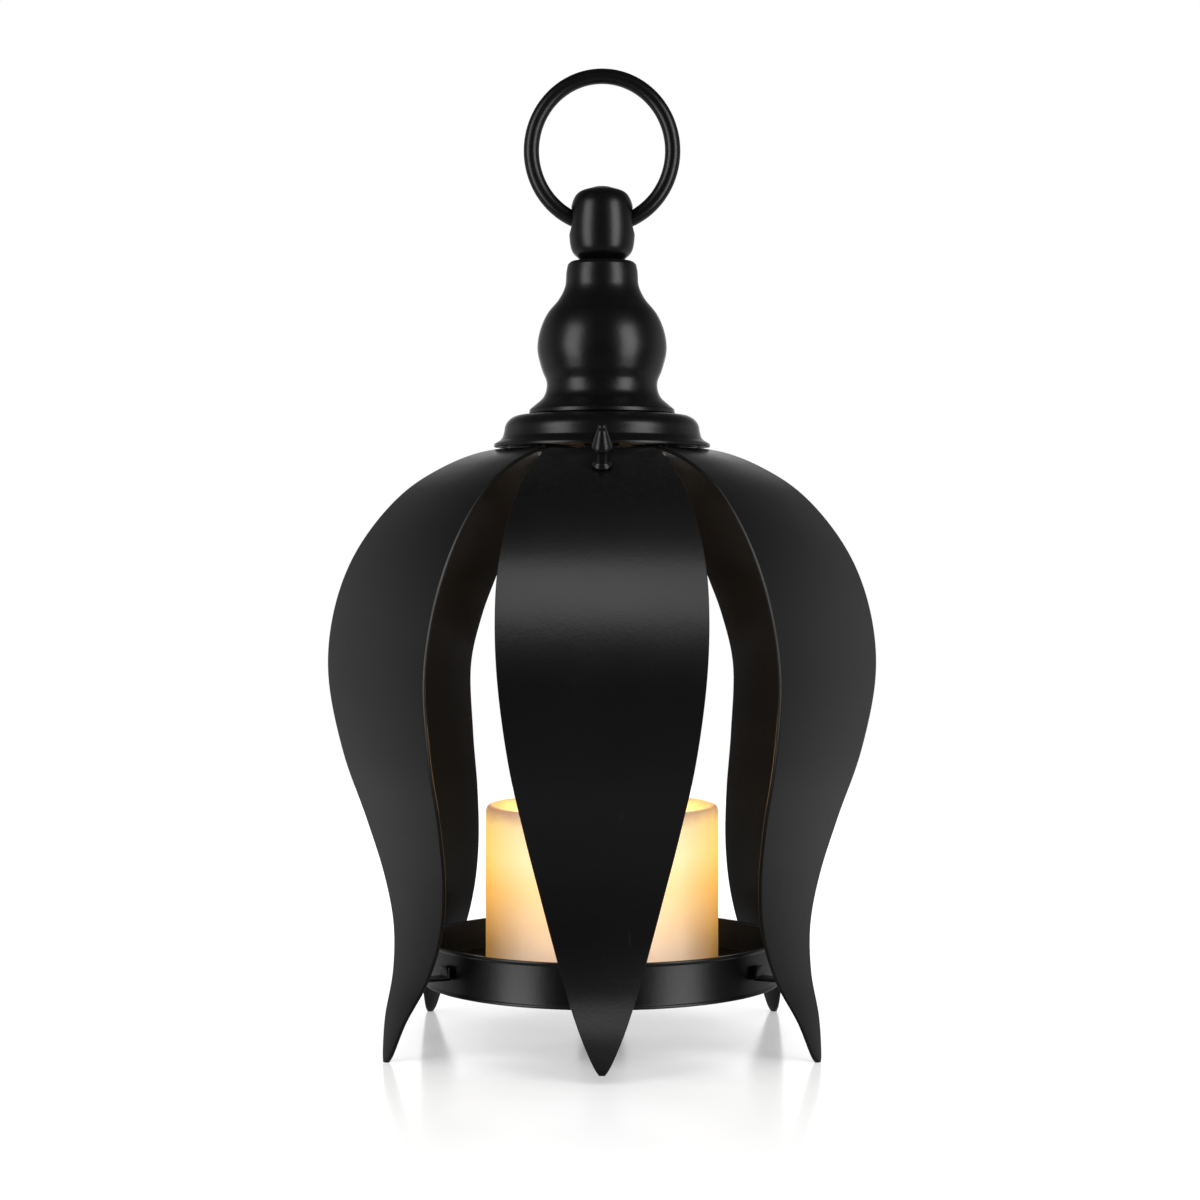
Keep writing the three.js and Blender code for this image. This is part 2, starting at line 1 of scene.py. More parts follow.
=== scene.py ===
import json
import math
import bpy
import bmesh
from mathutils import Matrix, Vector, noise

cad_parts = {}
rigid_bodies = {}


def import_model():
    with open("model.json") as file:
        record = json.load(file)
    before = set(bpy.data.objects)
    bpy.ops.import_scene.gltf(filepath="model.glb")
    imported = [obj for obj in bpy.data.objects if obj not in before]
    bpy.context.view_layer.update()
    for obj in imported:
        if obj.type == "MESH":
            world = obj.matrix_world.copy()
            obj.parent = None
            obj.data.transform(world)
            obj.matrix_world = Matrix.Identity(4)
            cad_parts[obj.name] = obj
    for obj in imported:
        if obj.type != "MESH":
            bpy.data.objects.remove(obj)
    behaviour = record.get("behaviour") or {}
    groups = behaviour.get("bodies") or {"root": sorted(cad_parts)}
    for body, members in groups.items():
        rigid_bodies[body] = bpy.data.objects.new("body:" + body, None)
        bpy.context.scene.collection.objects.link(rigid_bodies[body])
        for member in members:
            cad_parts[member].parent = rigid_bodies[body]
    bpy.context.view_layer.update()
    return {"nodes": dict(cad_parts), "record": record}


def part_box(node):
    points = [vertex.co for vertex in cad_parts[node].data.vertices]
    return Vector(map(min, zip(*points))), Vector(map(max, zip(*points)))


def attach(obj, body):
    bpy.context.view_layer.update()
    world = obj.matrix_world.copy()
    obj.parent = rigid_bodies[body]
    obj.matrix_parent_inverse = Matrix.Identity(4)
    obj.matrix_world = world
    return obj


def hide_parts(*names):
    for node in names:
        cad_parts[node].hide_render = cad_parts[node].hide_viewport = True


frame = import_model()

mm = 0.001
clearance = 0.3 * mm  # left between pieces that touch
sheet = 1.0 * mm  # thickness of the leaves and the cap

bodyOf = {}
for bodyName, nodeNames in frame["record"]["behaviour"]["bodies"].items():
    for nodeName in nodeNames:
        bodyOf[nodeName] = bodyName


def newMaterial(name):
    material = bpy.data.materials.new(name)
    material.use_nodes = True
    tree = material.node_tree
    return material, tree, tree.nodes["Principled BSDF"]


def newGroup(name, inputs, outputs):
    # inputs and outputs are {"Socket name": default}; a vector's default has three numbers
    tree = bpy.data.node_groups.new(name, "ShaderNodeTree")
    kinds = {1: "NodeSocketFloat", 3: "NodeSocketVector"}
    for direction, sockets in (("INPUT", inputs), ("OUTPUT", outputs)):
        for socketName, default in sockets.items():
            size = len(default) if isinstance(default, tuple) else 1
            socket = tree.interface.new_socket(socketName, in_out=direction, socket_type=kinds[size])
            if direction == "INPUT":
                socket.default_value = default
    return tree, tree.nodes.new("NodeGroupInput"), tree.nodes.new("NodeGroupOutput")


def addNode(tree, kind, settings=None, inputs=None):
    node = tree.nodes.new(kind)
    for key, value in (settings or {}).items():
        setattr(node, key, value)
    for key, value in (inputs or {}).items():
        if isinstance(value, bpy.types.NodeSocket):
            tree.links.new(value, node.inputs[key])
        else:
            node.inputs[key].default_value = value
    return node


def mathNode(tree, operation, first, second=0.0, third=0.0, clamp=False):
    settings = {"operation": operation, "use_clamp": clamp}
    return addNode(tree, "ShaderNodeMath", settings, {0: first, 1: second, 2: third}).outputs[0]


def noiseNode(tree, vector, scale, detail=3.0, roughness=0.55):
    inputs = {"Vector": vector, "Scale": scale, "Detail": detail, "Roughness": roughness}
    return addNode(tree, "ShaderNodeTexNoise", None, inputs).outputs["Fac"]


def spread(tree, value, low, high, toLow=0.0, toHigh=1.0):
    inputs = {"Value": value, "From Min": low, "From Max": high, "To Min": toLow, "To Max": toHigh}
    return addNode(tree, "ShaderNodeMapRange", None, inputs).outputs["Result"]


def blendColor(tree, factor, first, second):
    node = addNode(tree, "ShaderNodeMix", {"data_type": "RGBA"})
    for socket, value in ((node.inputs["Factor"], factor), (node.inputs[6], first), (node.inputs[7], second)):
        if isinstance(value, bpy.types.NodeSocket):
            tree.links.new(value, socket)
        else:
            socket.default_value = value
    return node.outputs[2]


def colorRamp(tree, factor, stops):
    ramp = addNode(tree, "ShaderNodeValToRGB", None, {"Fac": factor})
    while len(ramp.color_ramp.elements) < len(stops):
        ramp.color_ramp.elements.new(1.0)
    for element, (position, color) in zip(ramp.color_ramp.elements, stops):
        element.position = position
        element.color = color
    return ramp.outputs["Color"]


def placeGroup(tree, group, inputs):
    return addNode(tree, "ShaderNodeGroup", {"node_tree": group}, inputs)


def bumpInto(tree, shader, height, strength, distance):
    inputs = {"Height": height, "Strength": strength, "Distance": distance}
    bump = addNode(tree, "ShaderNodeBump", None, inputs)
    tree.links.new(bump.outputs["Normal"], shader.inputs["Normal"])


def objectVector(tree):
    return addNode(tree, "ShaderNodeTexCoord").outputs["Object"]


def buildPebble():
    # the fine rounded grain of a sprayed or moulded surface, with a slow swell under it
    inputs = {"Vector": (0.0, 0.0, 0.0), "Grain": 1500.0, "Swell": 260.0}
    tree, groupIn, groupOut = newGroup("pebbleGrain", inputs, {"Height": 0.0})
    vector = groupIn.outputs["Vector"]
    voronoi = {"Vector": vector, "Scale": groupIn.outputs["Grain"], "Smoothness": 0.8}
    grain = addNode(tree, "ShaderNodeTexVoronoi", {"feature": "SMOOTH_F1"}, voronoi).outputs["Distance"]
    swell = noiseNode(tree, vector, groupIn.outputs["Swell"], 2.0)
    height = mathNode(tree, "MULTIPLY_ADD", swell, 1.6, grain)
    tree.links.new(height, groupOut.inputs["Height"])
    return tree


def buildHandling():
    # broad patches where hands and cloths have polished the surface, with a few faint hairlines
    inputs = {"Vector": (0.0, 0.0, 0.0), "Patch": 28.0, "Low": 0.34, "High": 0.46}
    tree, groupIn, groupOut = newGroup("handling", inputs, {"Roughness": 0.0, "Marks": 0.0})
    vector = groupIn.outputs["Vector"]
    patch = spread(tree, noiseNode(tree, vector, groupIn.outputs["Patch"], 4.0), 0.35, 0.65)
    stretched = addNode(tree, "ShaderNodeMapping", None, {"Vector": vector, "Scale": (900.0, 900.0, 70.0)})
    hairs = spread(tree, noiseNode(tree, stretched.outputs["Vector"], 1.0, 2.0, 0.7), 0.69, 0.76)
    marks = mathNode(tree, "MULTIPLY", hairs, patch)
    low = groupIn.outputs["Low"]
    reach = mathNode(tree, "SUBTRACT", groupIn.outputs["High"], low)
    rough = mathNode(tree, "MULTIPLY_ADD", patch, reach, low)
    rough = mathNode(tree, "MULTIPLY_ADD", marks, 0.12, rough)
    tree.links.new(rough, groupOut.inputs["Roughness"])
    tree.links.new(marks, groupOut.inputs["Marks"])
    return tree


def buildDust():
    # thin dust that settles on faces that look up
    inputs = {"Vector": (0.0, 0.0, 0.0), "Amount": 0.3}
    tree, groupIn, groupOut = newGroup("settledDust", inputs, {"Mask": 0.0})
    normal = addNode(tree, "ShaderNodeNewGeometry").outputs["Normal"]
    up = addNode(tree, "ShaderNodeSeparateXYZ", None, {"Vector": normal}).outputs["Z"]
    facing = spread(tree, up, 0.55, 1.0)
    specks = spread(tree, noiseNode(tree, groupIn.outputs["Vector"], 950.0, 4.0, 0.7), 0.46, 0.66)
    mask = mathNode(tree, "MULTIPLY", mathNode(tree, "MULTIPLY", facing, specks), groupIn.outputs["Amount"])
    tree.links.new(mask, groupOut.inputs["Mask"])
    return tree


pebbleGrain = buildPebble()
handling = buildHandling()
settledDust = buildDust()


def makeBlackCoat():
    coat = {
        "color": (0.002, 0.002, 0.0022, 1.0),
        "marks": (0.007, 0.007, 0.0075, 1.0),
        "dustColor": (0.04, 0.039, 0.037, 1.0),
        "dust": 0.1,
        "dustRoughness": 0.5,
        "grain": 1700.0,
        "swell": 300.0,
        "patch": 24.0,
        "low": 0.29,
        "high": 0.35,
        "bump": 0.09,
        "bumpDepth": 0.00012,
    }
    material, tree, shader = newMaterial("satinBlackCoat")
    vector = objectVector(tree)
    grain = placeGroup(tree, pebbleGrain, {"Vector": vector, "Grain": coat["grain"], "Swell": coat["swell"]})
    wear = {"Vector": vector, "Patch": coat["patch"], "Low": coat["low"], "High": coat["high"]}
    worn = placeGroup(tree, handling, wear)
    dust = placeGroup(tree, settledDust, {"Vector": vector, "Amount": coat["dust"]}).outputs["Mask"]
    shade = blendColor(tree, worn.outputs["Marks"], coat["color"], coat["marks"])
    tree.links.new(blendColor(tree, dust, shade, coat["dustColor"]), shader.inputs["Base Color"])
    base = worn.outputs["Roughness"]
    rough = mathNode(tree, "MULTIPLY_ADD", dust, coat["dustRoughness"], base, clamp=True)
    tree.links.new(rough, shader.inputs["Roughness"])
    bumpInto(tree, shader, grain.outputs["Height"], coat["bump"], coat["bumpDepth"])
    return material


def makeWax():
    wax = {
        "color": (0.88, 0.66, 0.48, 1.0),
        "mottled": (0.82, 0.58, 0.4, 1.0),
        "paintedFlankShade": (0.78, 0.46, 0.18, 1.0),
        "footHeight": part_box("wax_shell")[0].z,
        "topHeight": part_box("wax_shell")[1].z,
        "radius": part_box("wax_shell")[1].x,
        "flank": (0.66, 0.97),  # shares of the radius where the painted flank shade starts and where it is full
        "subsurface": 0.35,
        "depth": 0.004,
        "patch": 70.0,
        "low": 0.42,
        "high": 0.56,
        "grain": 420.0,
        "swell": 90.0,
        "bump": 0.12,
        "bumpDepth": 0.0004,
        # painted light: the glow of the lamp inside shining through the wax from the foot to the rim, with a
        # painted lift from the front light at the foot; pale over the middle and deeper on the flanks as
        # painted shade
        "paintedGlowMiddle": (
            (0.0, (0.3, 0.22, 0.14, 1.0)),
            (0.16, (0.44, 0.32, 0.21, 1.0)),
            (0.34, (0.68, 0.43, 0.19, 1.0)),
            (0.53, (0.8, 0.53, 0.17, 1.0)),
            (0.72, (0.82, 0.7, 0.33, 1.0)),
            (0.9, (0.78, 0.62, 0.3, 1.0)),
            (1.0, (0.26, 0.16, 0.11, 1.0)),
        ),
        "paintedGlowFlanks": (
            (0.0, (0.1, 0.05, 0.004, 1.0)),
            (0.16, (0.19, 0.09, 0.008, 1.0)),
            (0.34, (0.45, 0.2, 0.01, 1.0)),
            (0.53, (0.74, 0.34, 0.012, 1.0)),
            (0.72, (0.78, 0.53, 0.09, 1.0)),
            (0.9, (0.74, 0.5, 0.11, 1.0)),
            (1.0, (0.26, 0.15, 0.09, 1.0)),
        ),
    }
    material, tree, shader = newMaterial("ivoryWax")
    vector = objectVector(tree)
    place = addNode(tree, "ShaderNodeSeparateXYZ", None, {"Vector": vector}).outputs
    share = spread(tree, place["Z"], wax["footHeight"], wax["topHeight"])
    drift = spread(tree, noiseNode(tree, vector, 60.0, 3.0), 0.3, 0.7, -0.03, 0.03)
    share = mathNode(tree, "ADD", share, drift, clamp=True)
    pale = colorRamp(tree, share, wax["paintedGlowMiddle"])
    deep = colorRamp(tree, share, wax["paintedGlowFlanks"])
    across = mathNode(tree, "ABSOLUTE", place["X"])
    flankStart, flankEnd = wax["flank"]
    flank = spread(tree, across, wax["radius"] * flankStart, wax["radius"] * flankEnd)
    # painted shade: towards the sides along X the painted glow turns deeper
    glow = blendColor(tree, flank, pale, deep)
    cloudy = spread(tree, noiseNode(tree, vector, 130.0, 5.0, 0.6), 0.35, 0.7)
    body = blendColor(tree, cloudy, wax["color"], wax["mottled"])
    # painted flank shade: the base colour turns darker and deeper towards the sides along X
    tree.links.new(blendColor(tree, flank, body, wax["paintedFlankShade"]), shader.inputs["Base Color"])
    # painted glow that stands in for the lamp's light shining through the wax
    tree.links.new(glow, shader.inputs["Emission Color"])
    shader.inputs["Emission Strength"].default_value = 1.0
    shader.inputs["Subsurface Weight"].default_value = wax["subsurface"]
    shader.inputs["Subsurface Scale"].default_value = wax["depth"]
    shader.inputs["Subsurface Radius"].default_value = (1.0, 0.5, 0.25)
    wear = {"Vector": vector, "Patch": wax["patch"], "Low": wax["low"], "High": wax["high"]}
    worn = placeGroup(tree, handling, wear)
    tree.links.new(worn.outputs["Roughness"], shader.inputs["Roughness"])
    grain = placeGroup(tree, pebbleGrain, {"Vector": vector, "Grain": wax["grain"], "Swell": wax["swell"]})
    bumpInto(tree, shader, grain.outputs["Height"], wax["bump"], wax["bumpDepth"])
    return material


def makeSteel(name, color, low, high):
    steel = {
        "patch": 160.0,
        "spangle": 420.0,
        "darkShare": 0.72,
        "grain": 2600.0,
        "swell": 500.0,
        "bump": 0.05,
        "bumpDepth": 0.00008,
    }
    material, tree, shader = newMaterial(name)
    vector = objectVector(tree)
    worn = placeGroup(tree, handling, {"Vector": vector, "Patch": steel["patch"], "Low": low, "High": high})
    spangle = spread(tree, noiseNode(tree, vector, steel["spangle"], 2.0), 0.4, 0.6)
    darker = tuple(channel * steel["darkShare"] for channel in color[:3]) + (1.0,)
    tree.links.new(blendColor(tree, spangle, color, darker), shader.inputs["Base Color"])
    tree.links.new(worn.outputs["Roughness"], shader.inputs["Roughness"])
    shader.inputs["Metallic"].default_value = 1.0
    surface = {"Vector": vector, "Grain": steel["grain"], "Swell": steel["swell"]}
    grain = placeGroup(tree, pebbleGrain, surface)
    bumpInto(tree, shader, grain.outputs["Height"], steel["bump"], steel["bumpDepth"])
    return material


def makePlastic(name, color, low, high, grainSize):
    plastic = {
        "patch": 60.0,
        "flow": 45.0,
        "deepShare": 0.9,
        "swell": 200.0,
        "bump": 0.1,
        "bumpDepth": 0.0001,
    }
    material, tree, shader = newMaterial(name)
    vector = objectVector(tree)
    worn = placeGroup(tree, handling, {"Vector": vector, "Patch": plastic["patch"], "Low": low, "High": high})
    flow = spread(tree, noiseNode(tree, vector, plastic["flow"], 3.0), 0.3, 0.7)
    deeper = tuple(channel * plastic["deepShare"] for channel in color[:3]) + (1.0,)
    tree.links.new(blendColor(tree, flow, color, deeper), shader.inputs["Base Color"])
    tree.links.new(worn.outputs["Roughness"], shader.inputs["Roughness"])
    grain = placeGroup(tree, pebbleGrain, {"Vector": vector, "Grain": grainSize, "Swell": plastic["swell"]})
    bumpInto(tree, shader, grain.outputs["Height"], plastic["bump"], plastic["bumpDepth"])
    return material


def makeBoard():
    # green lacquer over copper tracks that run in rings round the light
    board = {
        "lacquer": (0.012, 0.06, 0.025, 1.0),
        "track": (0.03, 0.12, 0.045, 1.0),
        "ringScale": 95.0,
        "distortion": 1.2,
        "coat": 0.5,
        "low": 0.25,
        "high": 0.38,
        "bump": 0.2,
        "bumpDepth": 0.00005,
    }
    material, tree, shader = newMaterial("lacqueredBoard")
    vector = objectVector(tree)
    flatten = {"Vector": vector, "Scale": (1.0, 1.0, 0.0)}
    flat = addNode(tree, "ShaderNodeMapping", None, flatten).outputs["Vector"]
    kind = {"wave_type": "RINGS", "rings_direction": "SPHERICAL"}
    wave = {"Vector": flat, "Scale": board["ringScale"], "Distortion": board["distortion"], "Detail": 1.0}
    rings = addNode(tree, "ShaderNodeTexWave", kind, wave).outputs["Fac"]
    track = spread(tree, rings, 0.52, 0.6)
    green = blendColor(tree, track, board["lacquer"], board["track"])
    tree.links.new(green, shader.inputs["Base Color"])
    shader.inputs["Coat Weight"].default_value = board["coat"]
    rough = spread(tree, noiseNode(tree, vector, 300.0), 0.3, 0.7, board["low"], board["high"])
    tree.links.new(rough, shader.inputs["Roughness"])
    bumpInto(tree, shader, track, board["bump"], board["bumpDepth"])
    return material


def makeLens():
    lens = {
        "color": (1.0, 0.55, 0.14, 1.0),
        "cloudColor": (0.95, 0.42, 0.08, 1.0),
        "glow": (1.0, 0.6, 0.18, 1.0),
        "cloudGlow": (1.0, 0.48, 0.1, 1.0),
        "strength": 1.5,
        "low": 0.1,
        "high": 0.2,
    }
    material, tree, shader = newMaterial("amberLens")
    vector = objectVector(tree)
    cloud = spread(tree, noiseNode(tree, vector, 500.0, 2.0), 0.3, 0.7)
    tint = blendColor(tree, cloud, lens["color"], lens["cloudColor"])
    tree.links.new(tint, shader.inputs["Base Color"])
    glow = blendColor(tree, cloud, lens["glow"], lens["cloudGlow"])
    tree.links.new(glow, shader.inputs["Emission Color"])
    shader.inputs["Emission Strength"].default_value = lens["strength"]
    rough = spread(tree, cloud, 0.0, 1.0, lens["low"], lens["high"])
    tree.links.new(rough, shader.inputs["Roughness"])
    return material


blackCoat = makeBlackCoat()
ivoryWax = makeWax()
zincSteel = makeSteel("zincSteel", (0.56, 0.57, 0.59, 1.0), 0.26, 0.4)
cellSteel = makeSteel("cellSteel", (0.74, 0.73, 0.7, 1.0), 0.16, 0.28)
whitePlastic = makePlastic("whitePlastic", (0.78, 0.75, 0.68, 1.0), 0.4, 0.52, 1400.0)
darkPlastic = makePlastic("darkPlastic", (0.018, 0.018, 0.019, 1.0), 0.42, 0.55, 1800.0)
lacqueredBoard = makeBoard()
amberLens = makeLens()
print("finishes made")


def throughPoints(points, steps):
    # a centripetal curve through the points, with so many steps in each span
    points = [Vector(point) for point in points]
    ends = [points[0] * 2 - points[1]] + points + [points[-1] * 2 - points[-2]]
    line = []
    for a, b, c, d in zip(ends, ends[1:], ends[2:], ends[3:]):
        ab = max((b - a).length ** 0.5, 1e-6)
        bc = max((c - b).length ** 0.5, 1e-6)
        cd = max((d - c).length ** 0.5, 1e-6)
        leave = ((b - a) / ab - (c - a) / (ab + bc) + (c - b) / bc) * bc
        arrive = ((c - b) / bc - (d - b) / (bc + cd) + (d - c) / cd) * bc
        for step in range(steps):
            t = step / steps
            cubic = (b * 2 - c * 2 + leave + arrive) * t ** 3
            square = (c * 3 - b * 3 - leave * 2 - arrive) * t ** 2
            line.append(cubic + square + leave * t + b)
    return line + [points[-1]]


def rounded(corners, reach, steps=4, loop=False):
    # the outline with each of its corners turned into a small bend
    outline = []
    for i, corner in enumerate(corners):
        here = Vector(corner)
        if not loop and i in (0, len(corners) - 1):
            outline.append(here)
            continue
        back = Vector(corners[i - 1]) - here
        ahead = Vector(corners[(i + 1) % len(corners)]) - here
        start = here + back.normalized() * min(reach, back.length * 0.45)
        end = here + ahead.normalized() * min(reach, ahead.length * 0.45)
        for step in range(steps + 1):
            t = step / steps
            outline.append(start * (1 - t) ** 2 + here * 2 * t * (1 - t) + end * t * t)
    return outline


def meshObject(name, verts, faces, sharpAngle):
    mesh = bpy.data.meshes.new(name)
    mesh.from_pydata([tuple(vert) for vert in verts], [], faces)
    piece = bpy.data.objects.new(name, mesh)
    bpy.context.collection.objects.link(piece)
    tidyMesh(mesh, sharpAngle)
    return piece


def tidyMesh(mesh, sharpAngle):
    work = bmesh.new()
    work.from_mesh(mesh)
    bmesh.ops.remove_doubles(work, verts=work.verts, dist=1e-7)
    bmesh.ops.dissolve_degenerate(work, edges=work.edges, dist=1e-7)
    bmesh.ops.recalc_face_normals(work, faces=work.faces)
    work.to_mesh(mesh)
    work.free()
    mesh.shade_smooth()
    mesh.set_sharp_from_angle(angle=math.radians(sharpAngle))


def turnedPiece(name, outline, segments, loop=False):
    # turns an outline of (radius, height) about the Z axis; a loop closes on itself round a hole
    verts = []
    for radius, height in outline:
        for turn in range(segments):
            angle = 2 * math.pi * turn / segments
            verts.append((radius * math.sin(angle), -radius * math.cos(angle), height))
    faces = []
    for row in range(len(outline) if loop else len(outline) - 1):
        low = row * segments
        high = ((row + 1) % len(outline)) * segments
        for turn in range(segments):
            following = (turn + 1) % segments
            faces.append((low + turn, low + following, high + following, high + turn))
    return meshObject(name, verts, faces, sharpAngle=40.0)


def plainCopy(piece, name):
    # what the piece's modifiers make, as an ordinary mesh object; the first object goes away
    bpy.context.view_layer.update()
    evaluated = piece.evaluated_get(bpy.context.evaluated_depsgraph_get())
    mesh = bpy.data.meshes.new_from_object(evaluated)
    result = bpy.data.objects.new(name, mesh)
    bpy.context.collection.objects.link(result)
    bpy.data.objects.remove(piece)
    return result


def hand(piece, material, nodes):
    # gives a finished piece its finish and its body, and hides the nodes that it stands for
    piece.data.materials.clear()
    piece.data.materials.append(material)
    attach(piece, bodyOf[nodes[0]])
    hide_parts(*nodes)
    return piece


def buildRingTree():
    tree = bpy.data.node_groups.new("roundTheAxis", "GeometryNodeTree")
    sockets = (
        ("Piece", "NodeSocketObject"),
        ("Count", "NodeSocketInt"),
        ("First Angle", "NodeSocketFloat"),
        ("Step Angle", "NodeSocketFloat"),
        ("Finish", "NodeSocketMaterial"),
    )
    for socketName, kind in sockets:
        tree.interface.new_socket(socketName, in_out="INPUT", socket_type=kind)
    tree.interface.new_socket("Geometry", in_out="OUTPUT", socket_type="NodeSocketGeometry")
    groupIn = tree.nodes.new("NodeGroupInput")
    groupOut = tree.nodes.new("NodeGroupOutput")
    places = addNode(tree, "GeometryNodePoints", None, {"Count": groupIn.outputs["Count"]})
    index = addNode(tree, "GeometryNodeInputIndex").outputs["Index"]
    step = groupIn.outputs["Step Angle"]
    angle = mathNode(tree, "MULTIPLY_ADD", index, step, groupIn.outputs["First Angle"])
    turn = addNode(tree, "ShaderNodeCombineXYZ", None, {"Z": angle}).outputs["Vector"]
    source = addNode(tree, "GeometryNodeObjectInfo", None, {"Object": groupIn.outputs["Piece"]})
    copies = {"Points": places.outputs["Points"], "Instance": source.outputs["Geometry"], "Rotation": turn}
    placed = addNode(tree, "GeometryNodeInstanceOnPoints", None, copies)
    real = addNode(tree, "GeometryNodeRealizeInstances", None, {"Geometry": placed.outputs["Instances"]})
    finished = {"Geometry": real.outputs["Geometry"], "Material": groupIn.outputs["Finish"]}
    painted = addNode(tree, "GeometryNodeSetMaterial", None, finished)
    tree.links.new(painted.outputs["Geometry"], groupOut.inputs["Geometry"])
    return tree


roundTheAxis = buildRingTree()


def roundAxis(name, piece, azimuths, material):
    # copies of a piece at evenly stepped azimuths, as one mesh
    holder = bpy.data.objects.new(name + "Holder", bpy.data.meshes.new(name + "Holder"))
    bpy.context.collection.objects.link(holder)
    modifier = holder.modifiers.new("round", "NODES")
    modifier.node_group = roundTheAxis
    step = azimuths[1] - azimuths[0]
    values = {
        "Piece": piece,
        "Count": len(azimuths),
        "First Angle": math.radians(azimuths[0]),
        "Step Angle": math.radians(step),
        "Finish": material,
    }
    for item in roundTheAxis.interface.items_tree:
        if item.in_out == "INPUT":
            modifier[item.identifier] = values[item.name]
    return plainCopy(holder, name)


leafSizes = {
    "top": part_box("crown_plate")[0].z - clearance,
    "belly": -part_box("leaf_front")[0].y - 0.1 * mm,
    "halfWidth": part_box("leaf_front")[1].x,
    "waist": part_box("tray")[1].x - clearance + 9.2 * mm,
    "bellyShare": 0.6213,
    "collar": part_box("crown_plate")[1].x - 0.8 * mm,
    "tabInner": (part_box("rivet_back")[0].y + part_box("rivet_back")[1].y) / 2 - 5.0 * mm,
    "doorTop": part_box("cap")[1].x - 0.7 * mm,
    "sideAzimuth": 57.0,
    "rearAzimuth": 128.0,
    "sideFlare": 8.9 * mm,
    "rearFlare": 5.1 * mm,
    "doorFlare": 7.7 * mm,
    "rearSag": 4.6 * mm,
    "edge": 0.24 * mm,
    "stepsPerSpan": 9,
}


def leafLine(tipFlare, spacing, footHeight=0.0, shoulderSag=0.0):
    # the leaf's middle line as (radius, height, half width), from its foot to its tab under the crown
    waist = leafSizes["waist"] - sheet / 2
    swell = leafSizes["belly"] - leafSizes["waist"]
    collar = leafSizes["collar"]
    inner = leafSizes["tabInner"]
    tab = leafSizes["top"] - sheet / 2
    slope = math.tan(math.radians(spacing / 2))
    bellyShare = leafSizes["bellyShare"]
    stations = (
        (waist + tipFlare, footHeight / tab, 0.03),
        (waist + tipFlare * 0.95, footHeight / tab + 0.009, 0.07),
        (waist + tipFlare * 0.7, 0.066, 0.19),
        (waist + tipFlare * 0.22, 0.1355, 0.34),
        (waist, 0.2115, 0.47),
        (waist + swell * 0.08, 0.291, 0.594),
        (waist + swell * 0.35, 0.3833, 0.73),
        (waist + swell * 0.76, 0.4957, 0.873),
        (waist + swell, bellyShare, 0.972),
        (waist + swell * 0.88, 0.7138, 1.0),
        (waist + swell * 0.52, 0.7997, 0.98),
        (waist, 0.8691, 0.905),
        (collar + (waist - collar) * 0.733, 0.9293, 0.789),
        (collar + (waist - collar) * 0.446, 0.9676, 0.669),
        (collar + (waist - collar) * 0.198, 0.9894, 0.57),
        (collar, 0.9987, 0.474),
        ((collar + inner) / 2, 1.0, 0.359),
        (inner, 1.0, 0.247),
    )
    points = []
    for radius, share, width in stations:
        aboveBelly = max(0.0, (share - bellyShare) / (1 - bellyShare))
        inset = radius - shoulderSag * math.sin(math.pi * aboveBelly) ** 2
        room = inset * slope - clearance - sheet / 2 * slope
        points.append((inset, tab * share, min(leafSizes["halfWidth"] * width, room)))
    return throughPoints(points, leafSizes["stepsPerSpan"])


def bladeSection(halfWidth):
    # one slice across a leaf: (across, outward), a flat strip with eased edges
    corners = ((1, 1), (-1, 1), (-1, -1), (1, -1))
    square = [(halfWidth * across, sheet / 2 * outward) for across, outward in corners]
    return rounded(square, leafSizes["edge"], steps=3, loop=True)


def blade(name, line):
    verts = []
    faces = []
    for i, (radius, height, halfWidth) in enumerate(line):
        ahead = line[min(i + 1, len(line) - 1)] - line[max(i - 1, 0)]
        along = Vector((ahead[0], ahead[1])).normalized()
        outward = Vector((along.y, -along.x))
        if outward.x < 0 and height < leafSizes["top"] / 2:
            outward.negate()
        section = bladeSection(halfWidth)
        for across, depth in section:
            rise = 0.0 if i == 0 else outward.y * depth  # the foot's end is cut level
            verts.append((across, -(radius + outward.x * depth), max(height + rise, line[0][1])))
    size = len(section)
    for row in range(len(line) - 1):
        for k in range(size):
            near = row * size + k
            side = row * size + (k + 1) % size
            faces.append((near, side, side + size, near + size))
    faces.append(tuple(range(size)))
    faces.append(tuple(range(len(verts) - size, len(verts))))
    return meshObject(name, verts, faces, sharpAngle=18.0)


def makeFixedLeaves():
    side = leafSizes["sideAzimuth"]
    rear = leafSizes["rearAzimuth"]
    sideLine = leafLine(leafSizes["sideFlare"], side)
    rearLine = leafLine(leafSizes["rearFlare"], 180 - rear, shoulderSag=leafSizes["rearSag"])
    rows = (
        ("leavesSide", sideLine, (-side, side), ("leaf_left_front", "leaf_right_front")),
        ("leavesRear", rearLine, (rear, 180, 360 - rear), ("leaf_right_back", "leaf_back", "leaf_left_back")),
    )
    for name, line, azimuths, nodes in rows:
        pattern = blade(name + "Pattern", line)
        leaves = roundAxis(name, pattern, azimuths, blackCoat)
        bpy.data.objects.remove(pattern)
        hand(leaves, blackCoat, nodes)


def doorLine():
    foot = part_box("leaf_front")[0].z
    line = leafLine(leafSizes["doorFlare"], leafSizes["sideAzimuth"], footHeight=foot)
    middle = leafSizes["top"] / 2
    return [point for point in line if point[1] < middle or point[0] > leafSizes["doorTop"]]


def makeDoor():
    hand(blade("doorLeaf", doorLine()), blackCoat, ("leaf_front",))


makeFixedLeaves()
makeDoor()
print("leaves made")


